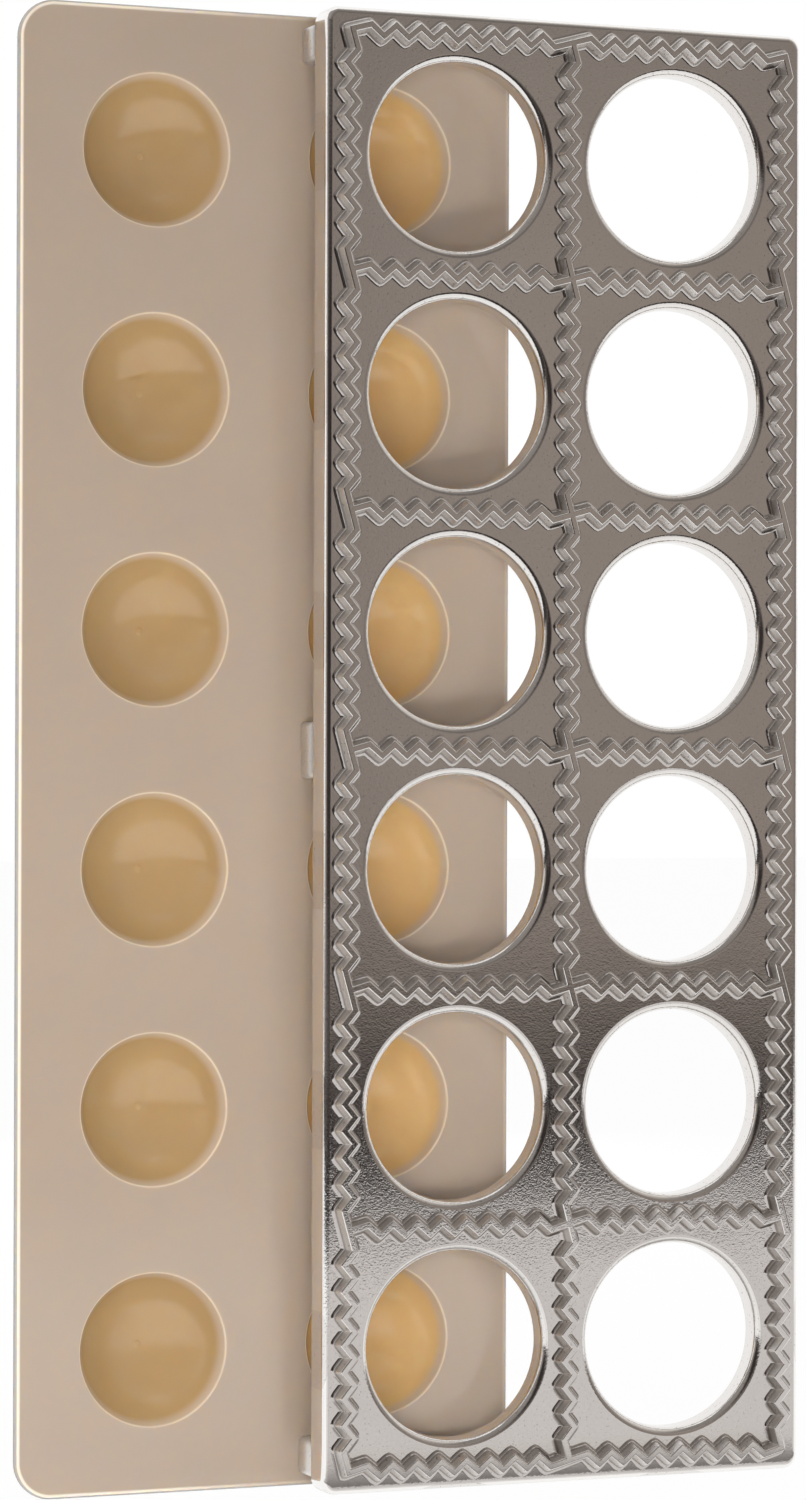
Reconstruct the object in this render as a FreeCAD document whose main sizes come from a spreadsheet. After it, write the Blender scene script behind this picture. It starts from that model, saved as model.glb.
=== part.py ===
import FreeCAD, Part
import math
import os

import Sketcher
from FreeCAD import Vector

# A ravioli mould in two loose pieces, shown standing on their short ends as they dry or
# are displayed. The cutter frame is one aluminium casting: a tray-like plate with a bore in
# every cell, zigzag cutting ridges round the cells, a rim and six feet. The press tray is
# one plastic moulding: a flat sheet with one round cup for each bore.
# Both pieces are drawn lying flat, face up, and then stood up with the face towards -Y.

document = FreeCAD.newDocument("ravioli_mould")

# Driving dimensions, in millimetres unless the name says otherwise
DRIVING_DIMENSIONS = [
    ("cell_columns", 2, "cells across"),
    ("cell_rows", 6, "cells along"),
    ("frame_corner", 3.0, "corner radius of the frame's outline"),
    ("frame_edge", 1.8, "rounding between the frame's face and its rim"),
    ("edge_clearance", 0.28, "from that rounding to the foot of the nearest tooth"),
    ("face_thickness", 3.0, "thickness of the frame's face"),
    ("rim_depth", 7.0, "depth of the rim, from the face"),
    ("rim_wall", 2.8, "thickness of the rim"),
    ("hollow_corner", 1.0, "corner radius of the hollow behind the face"),
    ("casting_draft", 2.0, "draft of the hollow side, in degrees"),
    ("bore_radius", 19.8, "radius of the bore in each cell"),
    ("lip_radius", 1.5, "rounding where the face turns into a bore"),
    ("lip_clearance", 0.78, "from that rounding to the foot of the nearest tooth"),
    ("collar_depth", 5.0, "depth of the collar round a bore, from the face"),
    ("collar_wall", 1.6, "thickness of that collar"),
    ("foot_drop", 8.4, "height of a foot, from the rim"),
    ("foot_width", 4.6, "size of a foot across the rim"),
    ("end_foot_length", 7.8, "length of the four feet by the corners"),
    ("middle_foot_length", 12.0, "length of the two feet halfway along"),
    ("foot_setback", 2.6, "from the frame's end to the first foot"),
    ("foot_inset", 0.3, "from the rim's outer side to a foot"),
    ("foot_corner", 1.2, "rounding of a foot's upright corners"),
    ("ridge_height", 2.6, "height of the ridges over the face"),
    ("ridge_top", 1.3, "width of a ridge's flat top"),
    ("ridge_flank", 1.1, "how far a ridge's side spreads from top to foot"),
    ("ridge_reach", 1.17, "how far a tooth leaves the ridge line"),
    ("crossing_reach", 4.2, "half the straight bar through a crossing"),
    ("teeth_per_cell", 8, "teeth on each side of a ridge line, for each cell"),
    ("sheet_thickness", 2.0, "thickness of the tray's sheet"),
    ("tray_corner", 8.0, "corner radius of the tray's outline"),
    ("tray_edge", 0.8, "rounding of the tray's edge"),
    ("cup_margin", 3.8, "from a bore's side in to the mouth of its cup"),
    ("cup_depth", 11.0, "depth of a cup"),
    ("cup_wall", 1.6, "thickness of a cup's wall"),
    ("cup_lip", 0.6, "rounding of a cup's mouth"),
    ("cup_root", 1.2, "fillet where a cup leaves the back of the sheet"),
    ("stagger", 61.9, "how far the tray stands beside the frame"),
]

sizes = document.addObject("Spreadsheet::Sheet", "Sizes")
for row, (alias, number, meaning) in enumerate(DRIVING_DIMENSIONS, start=1):
    sizes.set(f"A{row}", alias)
    sizes.set(f"B{row}", str(number))
    sizes.setAlias(f"B{row}", alias)
    sizes.set(f"C{row}", meaning)
document.recompute()


def size(alias):
    """One driving dimension, read from the sheet."""
    return float(getattr(sizes, alias))


def value_of(expression):
    """What an expression on the sheet comes to."""
    return float(sizes.evalExpression(expression))


# Sizes that follow from the driving ones, as expressions on the sheet
RIDGE_SPREAD = "(Sizes.ridge_top / 2 + Sizes.ridge_flank + Sizes.ridge_reach)"
LIP_OUTSIDE = "(Sizes.bore_radius + Sizes.lip_radius)"
CELL_PITCH = f"(2 * ({LIP_OUTSIDE} + Sizes.lip_clearance + {RIDGE_SPREAD}))"
BORDER = f"({RIDGE_SPREAD} + Sizes.edge_clearance + Sizes.frame_edge)"
FRAME_WIDTH = f"(Sizes.cell_columns * {CELL_PITCH} + 2 * {BORDER})"
FRAME_LENGTH = f"(Sizes.cell_rows * {CELL_PITCH} + 2 * {BORDER})"
FIRST_CELL_X = f"(-(Sizes.cell_columns - 1) * {CELL_PITCH} / 2)"
FIRST_CELL_Y = f"(-(Sizes.cell_rows - 1) * {CELL_PITCH} / 2)"
STAND_DEPTH = "(Sizes.rim_depth + Sizes.foot_drop)"
CUP_BACK = "(Sizes.cup_depth + Sizes.cup_wall)"
FACE_Y = f"((Sizes.ridge_height - {STAND_DEPTH} - {CUP_BACK}) / 2)"
CUP_RADIUS = "(Sizes.bore_radius - Sizes.cup_margin)"
CUP_BALL = f"(({CUP_RADIUS} ^ 2 + Sizes.cup_depth ^ 2) / (2 * Sizes.cup_depth))"
CUP_CENTRE = f"({CUP_BALL} - Sizes.cup_depth)"

# How closely two lengths agree when they count as one, in millimetres
TOLERANCE = 1e-6


def origin_plane(body, role):
    for feature in body.Origin.OriginFeatures:
        if feature.Role == role:
            return feature
    raise ValueError(role)


def new_sketch(body, name, role="XY_Plane", **offsets):
    """A sketch on one of the body's planes, moved by expressions for x, y and z."""
    sketch = body.newObject("Sketcher::SketchObject", name)
    sketch.AttachmentSupport = (origin_plane(body, role), [""])
    sketch.MapMode = "FlatFace"
    for axis, expression in offsets.items():
        sketch.setExpression(f"AttachmentOffset.Base.{axis}", expression)
    return sketch


def bind(sketch, constraint, expression):
    """Adds a dimension to a sketch and ties it to the sheet."""
    index = sketch.addConstraint(constraint)
    sketch.setExpression(f"Constraints[{index}]", expression)


def draw_rounded_rectangle(sketch, width, length, radius):
    """A rectangle about the sketch's origin, with round corners. Takes expressions."""
    half_width, half_length = value_of(width) / 2, value_of(length) / 2
    round_off = value_of(radius)
    inner_x, inner_y = half_width - round_off, half_length - round_off
    up = Vector(0, 0, 1)
    corners = [(inner_x, -inner_y, -90), (inner_x, inner_y, 0),
               (-inner_x, inner_y, 90), (-inner_x, -inner_y, 180)]
    runs = [((-inner_x, -half_length), (inner_x, -half_length)),
            ((half_width, -inner_y), (half_width, inner_y)),
            ((inner_x, half_length), (-inner_x, half_length)),
            ((-half_width, inner_y), (-half_width, -inner_y))]
    lines, arcs = [], []
    for (start, end), (x, y, angle) in zip(runs, corners):
        lines.append(sketch.addGeometry(Part.LineSegment(Vector(*start, 0), Vector(*end, 0))))
        circle = Part.Circle(Vector(x, y, 0), up, round_off)
        arcs.append(sketch.addGeometry(Part.ArcOfCircle(
            circle, math.radians(angle), math.radians(angle + 90))))
    for index, arc in enumerate(arcs):
        following = lines[(index + 1) % len(lines)]
        sketch.addConstraint(Sketcher.Constraint("Tangent", lines[index], 2, arc, 1))
        sketch.addConstraint(Sketcher.Constraint("Tangent", arc, 2, following, 1))
        if index:
            sketch.addConstraint(Sketcher.Constraint("Equal", arcs[0], arc))
    for index, line in enumerate(lines):
        kind = "Vertical" if index % 2 else "Horizontal"
        sketch.addConstraint(Sketcher.Constraint(kind, line))
    sketch.addConstraint(Sketcher.Constraint("Symmetric", arcs[0], 3, arcs[2], 3, -1, 1))
    bind(sketch, Sketcher.Constraint("Radius", arcs[0], round_off), radius)
    bind(sketch, Sketcher.Constraint("DistanceX", lines[3], 1, lines[1], 1, 2 * half_width), width)
    bind(sketch, Sketcher.Constraint("DistanceY", lines[0], 1, lines[2], 1, 2 * half_length), length)


def draw_circle(sketch, radius):
    """A circle about the sketch's origin. Takes an expression."""
    radius_now = value_of(radius)
    circle = sketch.addGeometry(Part.Circle(Vector(0, 0, 0), Vector(0, 0, 1), radius_now))
    sketch.addConstraint(Sketcher.Constraint("Coincident", circle, 3, -1, 1))
    bind(sketch, Sketcher.Constraint("Radius", circle, radius_now), radius)


def extrude(body, kind, name, sketch, length, upwards, draft=None):
    """A Pad or a Pocket along the sketch's normal, or against it."""
    feature = body.newObject(f"PartDesign::{kind}", name)
    feature.Profile = sketch
    feature.setExpression("Length", length)
    # a pad grows along the normal and a pocket cuts against it, unless reversed
    feature.Reversed = upwards if kind == "Pocket" else not upwards
    if draft:
        feature.setExpression("TaperAngle", draft)
    sketch.Visibility = False
    document.recompute()
    return feature


def repeat_over_cells(body, name, features):
    """Repeats features of the first cell in every cell."""
    pattern = body.newObject("PartDesign::MultiTransform", name)
    pattern.Originals = features
    steps = []
    for role, count in (("X_Axis", "Sizes.cell_columns"), ("Y_Axis", "Sizes.cell_rows")):
        step = document.addObject("PartDesign::LinearPattern", f"{name}_{role[0].lower()}")
        step.Direction = (origin_plane(body, role), [""])
        step.setExpression("Length", f"({count} - 1) * {CELL_PITCH}")
        step.setExpression("Occurrences", count)
        body.addObject(step)
        steps.append(step)
    pattern.Transformations = steps
    body.Tip = pattern
    document.recompute()
    return pattern


def edges_where(shape, test):
    return [f"Edge{index}" for index, edge in enumerate(shape.Edges, start=1) if test(edge)]


def round_edges(body, name, base, test, radius):
    """Fillets the edges of a feature that pass a test."""
    fillet = body.newObject("PartDesign::Fillet", name)
    fillet.Base = (base, edges_where(base.Shape, test))
    fillet.setExpression("Radius", radius)
    document.recompute()
    return fillet


def is_circle_over(edge, radius):
    return isinstance(edge.Curve, Part.Circle) and edge.Curve.Radius > radius


def lies_at(edge, height):
    """True for an edge that lies flat at a height."""
    box = edge.BoundBox
    return abs(box.ZMin - height) < TOLERANCE and abs(box.ZMax - height) < TOLERANCE


def is_circle(edge, radius):
    return isinstance(edge.Curve, Part.Circle) and abs(edge.Curve.Radius - radius) < TOLERANCE


# The cutter frame's plate: a block with round corners, hollowed from behind so that a face
# and a rim are left, as castings of this kind are
casting = document.addObject("PartDesign::Body", "frame_casting")
outline = new_sketch(casting, "frame_outline")
draw_rounded_rectangle(outline, FRAME_WIDTH, FRAME_LENGTH, "Sizes.frame_corner")
block = extrude(casting, "Pad", "frame_block", outline, "Sizes.rim_depth", upwards=False)

hollow_outline = new_sketch(casting, "hollow_outline", z="-Sizes.rim_depth")
draw_rounded_rectangle(hollow_outline, f"{FRAME_WIDTH} - 2 * Sizes.rim_wall",
                       f"{FRAME_LENGTH} - 2 * Sizes.rim_wall", "Sizes.hollow_corner")
hollow = extrude(casting, "Pocket", "frame_hollow", hollow_outline,
                 "Sizes.rim_depth - Sizes.face_thickness", upwards=True,
                 draft="-Sizes.casting_draft")

# Each bore has a collar behind the face, which stiffens its edge
collar_outline = new_sketch(casting, "collar_outline", x=FIRST_CELL_X, y=FIRST_CELL_Y,
                            z="-Sizes.collar_depth")
draw_circle(collar_outline, "Sizes.bore_radius + Sizes.collar_wall")
collar = extrude(casting, "Pad", "bore_collar", collar_outline,
                 "Sizes.collar_depth - Sizes.face_thickness / 2", upwards=True)
bore_outline = new_sketch(casting, "bore_outline", x=FIRST_CELL_X, y=FIRST_CELL_Y)
draw_circle(bore_outline, "Sizes.bore_radius")
bore = extrude(casting, "Pocket", "cell_bore", bore_outline, "Sizes.rim_depth",
               upwards=False)
bores = repeat_over_cells(casting, "cell_bores", [collar, bore])

# Six feet: one by each corner and one halfway along each side. They grow out of the face
# behind the rim, and stand just inside its outer side.
FOOT_X = f"({FRAME_WIDTH} / 2 - Sizes.foot_inset - Sizes.foot_width / 2)"
END_FOOT_Y = f"({FRAME_LENGTH} / 2 - Sizes.foot_setback - Sizes.end_foot_length / 2)"
FOOT_PLACES = [("bottom", f"-{END_FOOT_Y}", "Sizes.end_foot_length"),
               ("middle", "0", "Sizes.middle_foot_length"),
               ("top", END_FOOT_Y, "Sizes.end_foot_length")]
for place, foot_y, foot_length in FOOT_PLACES:
    for side, foot_x in (("left", f"-{FOOT_X}"), ("right", FOOT_X)):
        foot_outline = new_sketch(casting, f"{place}_{side}_foot_outline", x=foot_x, y=foot_y,
                                  z=f"-{STAND_DEPTH}")
        draw_rounded_rectangle(foot_outline, "Sizes.foot_width", foot_length,
                               "Sizes.foot_corner")
        foot = extrude(casting, "Pad", f"{place}_{side}_foot", foot_outline,
                       f"{STAND_DEPTH} - Sizes.face_thickness / 2", upwards=True)

# The face rolls over into the rim and into each bore
rounded_rim = round_edges(
    casting, "rim_rounding", foot,
    lambda edge: lies_at(edge, 0) and not is_circle(edge, size("bore_radius")),
    "Sizes.frame_edge")
rounded_lips = round_edges(
    casting, "lip_rounding", rounded_rim,
    lambda edge: lies_at(edge, 0) and is_circle(edge, size("bore_radius")),
    "Sizes.lip_radius")
casting.Tip = rounded_lips
document.recompute()


# The zigzag ridges. They run along every cell boundary and meet at the crossings, where
# each line goes straight through on a slant, at right angles to the line it crosses.
def ridge_line(length_in_cells):
    """Corners of one ridge line's centre, along +X from a crossing at the origin."""
    pitch = value_of(CELL_PITCH)
    reach, bar = size("ridge_reach"), size("crossing_reach")
    teeth = int(size("teeth_per_cell"))
    half_tooth = (pitch - 2 * bar) / (2 * teeth - 1)
    corners = []
    for cell in range(length_in_cells):
        start = cell * pitch
        corners.append((start, 0.0))
        for index in range(2 * teeth):
            side = 1 if index % 2 == 0 else -1
            corners.append((start + bar + index * half_tooth, side * reach))
    corners.append((length_in_cells * pitch, 0.0))
    return corners


def loop_round(columns, rows):
    """Ridge centre line round a block of cells, anticlockwise from its lower left corner."""
    pitch = value_of(CELL_PITCH)
    across, along = ridge_line(columns), ridge_line(rows)
    width, length = columns * pitch, rows * pitch
    bottom = across
    right = [(width - y, x) for x, y in along]
    top = [(x, length + y) for x, y in reversed(across)]
    left = [(-y, x) for x, y in reversed(along)]
    return bottom[:-1] + right[:-1] + top[:-1] + left[:-1]


def set_off(corners, distance):
    """A closed outline moved outwards by a distance, with its corners kept sharp."""
    moved = []
    for index, (x, y) in enumerate(corners):
        before = corners[index - 1]
        after = corners[(index + 1) % len(corners)]
        first = Vector(x - before[0], y - before[1], 0).normalize()
        second = Vector(after[0] - x, after[1] - y, 0).normalize()
        outward_first = Vector(first.y, -first.x, 0)
        outward_second = Vector(second.y, -second.x, 0)
        corner = outward_first + outward_second
        corner.multiply(distance / (1 + outward_first.dot(outward_second)))
        moved.append((x + corner.x, y + corner.y))
    return moved


def polygon_at(corners, shift_x, shift_y, height):
    return [Vector(x + shift_x, y + shift_y, height) for x, y in corners]


def closed_wire(points):
    return Part.makePolygon(points + points[:1])


def flank_faces(foot, crest):
    """The sloping sides between two outlines with matching corners."""
    faces = []
    for index in range(len(foot)):
        following = (index + 1) % len(foot)
        faces.append(Part.Face(closed_wire(
            [foot[index], foot[following], crest[following], crest[index]])))
    return faces


def ridge_network():
    """All ridges as one solid, standing on the face."""
    pitch = value_of(CELL_PITCH)
    columns, rows = int(size("cell_columns")), int(size("cell_rows"))
    height = size("ridge_height")
    crest_half = size("ridge_top") / 2
    foot_half = crest_half + size("ridge_flank")
    left, front = -columns * pitch / 2, -rows * pitch / 2

    around = loop_round(columns, rows)
    outer_foot = polygon_at(set_off(around, foot_half), left, front, 0)
    outer_crest = polygon_at(set_off(around, crest_half), left, front, height)
    faces = flank_faces(outer_foot, outer_crest)
    foot_wires, crest_wires = [closed_wire(outer_foot)], [closed_wire(outer_crest)]
    one_cell = loop_round(1, 1)
    for column in range(columns):
        for row in range(rows):
            x, y = left + column * pitch, front + row * pitch
            foot = polygon_at(set_off(one_cell, -foot_half), x, y, 0)
            crest = polygon_at(set_off(one_cell, -crest_half), x, y, height)
            faces += flank_faces(foot, crest)
            foot_wires.append(closed_wire(foot))
            crest_wires.append(closed_wire(crest))
    for wires in (foot_wires, crest_wires):
        faces.append(Part.Face(wires, "Part::FaceMakerBullseye"))
    shell = Part.Shell(faces)
    shell.sewShape()
    solid = Part.Solid(shell)
    solid.fix(TOLERANCE, TOLERANCE, TOLERANCE)
    return solid


ridges = document.addObject("Part::Feature", "ridge_network")
ridges.Shape = ridge_network()

cutter_frame = document.addObject("Part::Fuse", "cutter_frame")
cutter_frame.Label = "cutter_frame"
cutter_frame.Base = casting
cutter_frame.Tool = ridges


# The press tray: a flat sheet, with a round cup behind each cell's place
def draw_cap(sketch, top, radius_growth):
    """Half of a cup's section: a cap of a ball under a height, with its straight sides.

    Every cap of a cup has one centre, over the mouth, so that its wall is even.
    """
    centre_up = value_of(CUP_CENTRE)
    ball = value_of(f"{CUP_BALL} + {radius_growth}")
    top_now = value_of(top)
    edge_x = math.sqrt(ball ** 2 - (centre_up - top_now) ** 2)
    up = Vector(0, 0, 1)
    start = math.atan2(top_now - centre_up, edge_x)
    arc = sketch.addGeometry(Part.ArcOfCircle(
        Part.Circle(Vector(0, centre_up, 0), up, ball), -math.pi / 2, start))
    lid = sketch.addGeometry(Part.LineSegment(Vector(edge_x, top_now, 0), Vector(0, top_now, 0)))
    axis = sketch.addGeometry(Part.LineSegment(
        Vector(0, top_now, 0), Vector(0, centre_up - ball, 0)))
    sketch.addConstraint(Sketcher.Constraint("Coincident", arc, 2, lid, 1))
    sketch.addConstraint(Sketcher.Constraint("Coincident", lid, 2, axis, 1))
    sketch.addConstraint(Sketcher.Constraint("Coincident", axis, 2, arc, 1))
    sketch.addConstraint(Sketcher.Constraint("Horizontal", lid))
    sketch.addConstraint(Sketcher.Constraint("PointOnObject", lid, 2, -2))
    sketch.addConstraint(Sketcher.Constraint("PointOnObject", axis, 2, -2))
    sketch.addConstraint(Sketcher.Constraint("PointOnObject", arc, 3, -2))
    bind(sketch, Sketcher.Constraint("DistanceY", -1, 1, arc, 3, centre_up), CUP_CENTRE)
    bind(sketch, Sketcher.Constraint("Radius", arc, ball), f"{CUP_BALL} + {radius_growth}")
    bind(sketch, Sketcher.Constraint("DistanceY", lid, 1, arc, 3, centre_up - top_now),
         f"{CUP_CENTRE} - ({top})")


def revolve(body, kind, name, sketch):
    feature = body.newObject(f"PartDesign::{kind}", name)
    feature.Profile = sketch
    feature.ReferenceAxis = (sketch, ["V_Axis"])
    sketch.Visibility = False
    document.recompute()
    return feature


tray = document.addObject("PartDesign::Body", "press_tray")
tray.Label = "press_tray"
tray_outline = new_sketch(tray, "tray_outline")
draw_rounded_rectangle(tray_outline, FRAME_WIDTH, FRAME_LENGTH, "Sizes.tray_corner")
sheet = extrude(tray, "Pad", "tray_sheet", tray_outline, "Sizes.sheet_thickness",
                upwards=False)
dome_section = new_sketch(tray, "dome_section", "XZ_Plane", x=FIRST_CELL_X,
                          z=f"-{FIRST_CELL_Y}")
draw_cap(dome_section, "-Sizes.sheet_thickness / 2", "Sizes.cup_wall")
dome = revolve(tray, "Revolution", "cup_dome", dome_section)
hollow_section = new_sketch(tray, "cup_hollow_section", "XZ_Plane", x=FIRST_CELL_X,
                            z=f"-{FIRST_CELL_Y}")
draw_cap(hollow_section, "0", "0")
cup_hollow = revolve(tray, "Groove", "cup_hollow", hollow_section)
cups = repeat_over_cells(tray, "cups", [dome, cup_hollow])

rounded_mouths = round_edges(
    tray, "mouth_rounding", cups,
    lambda edge: lies_at(edge, 0) and is_circle(edge, value_of(CUP_RADIUS)), "Sizes.cup_lip")
sheet_back = -size("sheet_thickness")
rounded_roots = round_edges(
    tray, "root_rounding", rounded_mouths,
    lambda edge: lies_at(edge, sheet_back) and is_circle_over(edge, value_of(CUP_RADIUS)),
    "Sizes.cup_root")
rounded_sheet = round_edges(
    tray, "edge_rounding", rounded_roots,
    lambda edge: ((lies_at(edge, 0) or lies_at(edge, sheet_back))
                  and not is_circle_over(edge, size("tray_corner"))),
    "Sizes.tray_edge")
tray.Tip = rounded_sheet

# Both pieces stand on their ends with their faces towards -Y: the frame in front, and the
# tray behind it and to its left, flat against the frame's feet
UPRIGHT = FreeCAD.Rotation(Vector(1, 0, 0), 90)
for piece, side, setback in ((cutter_frame, "", "0"), (tray, "-", STAND_DEPTH)):
    piece.Placement = FreeCAD.Placement(Vector(), UPRIGHT)
    piece.setExpression("Placement.Base.x", f"{side}Sizes.stagger / 2")
    piece.setExpression("Placement.Base.y", f"{FACE_Y} + {setback}")
    piece.setExpression("Placement.Base.z", f"{FRAME_LENGTH} / 2")
document.recompute()

for item in document.Objects:
    if "Invalid" in item.State or "Error" in item.State:
        raise RuntimeError(f"{item.Label}: {item.getStatusString()}")

os.makedirs("parts", exist_ok=True)
for piece in (cutter_frame, tray):
    shape = piece.Shape
    if shape.isNull() or not shape.isValid() or len(shape.Solids) != 1:
        raise RuntimeError(f"{piece.Label} is not one sound solid")
    shape.exportStep(f"parts/{piece.Label}.step")
    box = shape.BoundBox
    print(f"{piece.Label}: {shape.Volume:.0f} mm3, x {box.XMin:.2f} to {box.XMax:.2f},",
          f"y {box.YMin:.2f} to {box.YMax:.2f}, z {box.ZMin:.2f} to {box.ZMax:.2f}")
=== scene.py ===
# %% [markdown]
# A ravioli mould, dressed for its portrait.
# The mould is two loose pieces that stand on their short ends: a cast aluminium cutter frame
# in front, and the plastic press tray behind it. The measured solids give every place and
# size. This lesson builds a finer skin for each piece over its solid, gives it a finish made
# of nodes, and lights both as a small studio would.

# %% Load the measured model
import math

import bmesh
import bpy
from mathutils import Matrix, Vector, geometry, noise


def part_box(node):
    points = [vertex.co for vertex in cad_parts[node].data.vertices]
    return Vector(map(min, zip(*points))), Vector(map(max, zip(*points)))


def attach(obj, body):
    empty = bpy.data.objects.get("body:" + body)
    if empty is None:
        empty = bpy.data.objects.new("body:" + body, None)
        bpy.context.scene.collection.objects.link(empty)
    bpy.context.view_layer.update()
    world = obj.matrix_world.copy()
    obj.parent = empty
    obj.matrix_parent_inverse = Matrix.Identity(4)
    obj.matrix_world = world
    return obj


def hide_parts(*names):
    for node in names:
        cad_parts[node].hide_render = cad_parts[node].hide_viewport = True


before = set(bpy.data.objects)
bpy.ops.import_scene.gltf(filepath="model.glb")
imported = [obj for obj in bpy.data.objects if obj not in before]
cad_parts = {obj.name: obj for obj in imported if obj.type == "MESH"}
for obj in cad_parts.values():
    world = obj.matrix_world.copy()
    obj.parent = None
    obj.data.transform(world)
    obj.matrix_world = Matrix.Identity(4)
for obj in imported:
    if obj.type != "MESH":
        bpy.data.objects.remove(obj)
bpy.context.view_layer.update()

MM = 0.001

# %% [markdown]
# The two pieces are easiest to draw lying flat, in millimetres: x across, y along, and z out
# of the face. The measured boxes say how wide and long they are and where they stand. The
# other sizes are those of the pattern: cells, bores, ridges and cups.

# %% Sizes of the mould
COLUMNS, ROWS = 2, 6
PITCH = 50.0
CORNER = 3.0
EDGE_ROUND = 1.4
FACE_THICK = 3.0
RIM_DEEP = 7.0
RIM_WALL = 2.8
BORE = 19.8
LIP = 1.7
COLLAR_DEEP = 5.0
COLLAR_WALL = 1.6
RIDGE_HIGH = 2.6
RIDGE_TOP = 1.3
RIDGE_RUN = 0.85
TOOTH_REACH = 1.17
CROSSING_REACH = 4.2
TEETH = 8
SHEET_THICK = 2.0
SHEET_CORNER = 8.0
CUP = 16.0
CUP_DEEP = 11.0
CUP_WALL = 1.6


class Stand:
    """Where a flat drawing stands in the shared frame, read from its measured solid."""

    def __init__(self, node, face_depth):
        low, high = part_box(node)
        self.node = node
        self.width = (high.x - low.x) / MM
        self.length = (high.z - low.z) / MM
        self.deep = (high.y - low.y) / MM
        self.middle = Vector(((low.x + high.x) / 2, low.y + face_depth * MM, (low.z + high.z) / 2))

    def upright(self, point):
        x, y, z = point
        return self.middle + Vector((x, -z, y)) * MM


frame_stand = Stand("cutter_frame", RIDGE_HIGH)
tray_stand = Stand("press_tray", 0.0)
print("frame", round(frame_stand.width, 2), round(frame_stand.length, 2), round(frame_stand.deep, 2))
print("tray", round(tray_stand.width, 2), round(tray_stand.length, 2), round(tray_stand.deep, 2))

# %% [markdown]
# Both pieces are skins of rings. A ring is one closed outline at one height. Two rings with
# as many points are joined by a strip of quads, and a flat between rings is filled with
# triangles, by a method that keeps every edge of the rings. A whole moulding is then a few
# outlines swept along a section. This was chosen over booleans because it gives clean strips
# along every rounded edge, and those strips are what catches the light.


# %% A skin made of rings
FILL_MARGIN = 1e-6


class Skin:
    """Points and faces of one piece, drawn flat in millimetres."""

    def __init__(self):
        self.points = []
        self.faces = []
        self.on_flats = set()

    def ring(self, outline, height):
        first = len(self.points)
        self.points += [(x, y, height) for x, y in outline]
        return list(range(first, len(self.points)))

    def strip(self, ring, other):
        for here in range(len(ring)):
            after = (here + 1) % len(ring)
            self.faces.append((ring[here], ring[after], other[after], other[here]))

    def sweep(self, outline_at, section):
        """Joins the rings of a section of (offset, height) points. Gives its end rings."""
        rings = [self.ring(outline_at(offset), height) for offset, height in section]
        for ring, other in zip(rings, rings[1:]):
            self.strip(ring, other)
        return rings[0], rings[-1]

    def fill(self, *loops):
        """Fills the flat inside the first ring and outside the others."""
        order, outlines = [], []
        for loop in loops:
            outlines.append(list(range(len(order), len(order) + len(loop))))
            order += loop
        self.on_flats.update(order)
        drawn = [Vector(self.points[i][:2]) for i in order]
        filled = geometry.delaunay_2d_cdt(drawn, [], outlines, 1, FILL_MARGIN, True)
        triangles, corners, inside = filled[2], filled[3], filled[5]
        for triangle, loops_round_it in zip(triangles, inside):
            if loops_round_it == [0]:
                self.faces.append(tuple(order[corners[i][0]] for i in triangle))

    def close(self, ring, tip):
        self.points.append(tip)
        last = len(self.points) - 1
        for here in range(len(ring)):
            self.faces.append((ring[here], ring[(here + 1) % len(ring)], last))


# %% [markdown]
# A section is a bent line with round corners, as a toolmaker draws it: each corner is given
# with its radius, and the arc is worked out. The same helper draws the ridge's flank, the
# lip of a bore, the rim and the mouth of a cup.


# %% Sections and outlines
def section(corners, steps=5):
    """Points of a bent line through (offset, height, radius) corners."""
    line = []
    for index, (offset, height, radius) in enumerate(corners):
        corner = Vector((offset, height))
        if not radius:
            line.append((offset, height))
            continue
        back = (Vector(corners[index - 1][:2]) - corner).normalized()
        ahead = (Vector(corners[index + 1][:2]) - corner).normalized()
        half = back.angle(ahead) / 2
        centre = corner + (back + ahead).normalized() * (radius / math.sin(half))
        spoke = corner + back * (radius / math.tan(half)) - centre
        target = corner + ahead * (radius / math.tan(half)) - centre
        start = math.atan2(spoke.y, spoke.x)
        turn = math.remainder(math.atan2(target.y, target.x) - start, 2 * math.pi)
        for step in range(steps + 1):
            angle = start + turn * step / steps
            line.append((centre.x + radius * math.cos(angle), centre.y + radius * math.sin(angle)))
    return line


def round_outline(x, y, radius, points=88):
    turns = [2 * math.pi * i / points for i in range(points)]
    return [(x + radius * math.cos(t), y + radius * math.sin(t)) for t in turns]


def box_outline(width, length, radius, steps=8):
    """A rectangle about the origin with round corners, anticlockwise."""
    outline = []
    for quarter in range(4):
        side_x = 1 if quarter in (0, 3) else -1
        side_y = 1 if quarter in (0, 1) else -1
        for step in range(steps + 1):
            angle = math.pi / 2 * (quarter + step / steps)
            outline.append((side_x * (width / 2 - radius) + radius * math.cos(angle),
                            side_y * (length / 2 - radius) + radius * math.sin(angle)))
    return outline


def cells():
    for row in range(ROWS):
        for column in range(COLUMNS):
            yield (column - (COLUMNS - 1) / 2) * PITCH, (row - (ROWS - 1) / 2) * PITCH


# %% [markdown]
# The ridges are the mould's cutting edge. On the real casting they run in a zigzag along
# every cell boundary, and where two lines cross each goes straight through on a slant, so
# the crossings look like pinwheels. The teeth are a little uneven, as a hand-cut pattern
# leaves them, which is why every corner of the centre line is nudged by a smooth noise. The
# noise is given a seed, because without one Blender starts it from the clock, and each run
# would make other teeth.


# %% Centre lines of the ridges
NUDGE = 0.07
NUDGE_SIZE = 3.1
NUDGE_SEED = 1
noise.seed_set(NUDGE_SEED)
CORNER_STEPS = 4
LEAST_TURN = 0.1


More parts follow.
